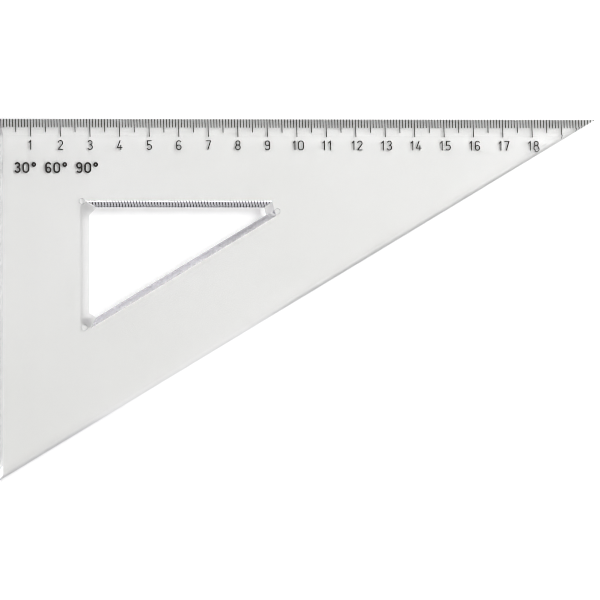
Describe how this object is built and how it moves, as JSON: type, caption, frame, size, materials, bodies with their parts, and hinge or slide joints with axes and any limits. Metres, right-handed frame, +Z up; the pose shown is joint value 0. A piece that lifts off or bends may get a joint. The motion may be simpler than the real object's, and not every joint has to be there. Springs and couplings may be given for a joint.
{
  "type": "set square",
  "caption": "Clear plastic 30/60 degree set square with a millimetre scale, bevelled edges, an undercut triangular window and three nibs underneath.",
  "frame": {"origin": "centre of the bounding box, on the surface that the nibs stand on", "axes": "+X along the scale from zero towards the sharp corner, +Y out of the scale edge, +Z up out of the bevelled face"},
  "size_m": [0.2018, 0.1164, 0.0025],
  "materials": {
    "clear_plastic": "clear and polished, colourless",
    "printing_ink": "black screen-printing ink, satin"
  },
  "bodies": {
    "root": {"plate": "clear_plastic", "millimetre_marks": "printing_ink", "half_centimetre_marks": "printing_ink", "centimetre_marks": "printing_ink", "numeral_1": "printing_ink", "numeral_2": "printing_ink", "numeral_3": "printing_ink", "numeral_4": "printing_ink", "numeral_5": "printing_ink", "numeral_6": "printing_ink", "numeral_7": "printing_ink", "numeral_8": "printing_ink", "numeral_9": "printing_ink", "numeral_10": "printing_ink", "numeral_11": "printing_ink", "numeral_12": "printing_ink", "numeral_13": "printing_ink", "numeral_14": "printing_ink", "numeral_15": "printing_ink", "numeral_16": "printing_ink", "numeral_17": "printing_ink", "numeral_18": "printing_ink", "angle_label": "printing_ink"}
  },
  "joints": []
}
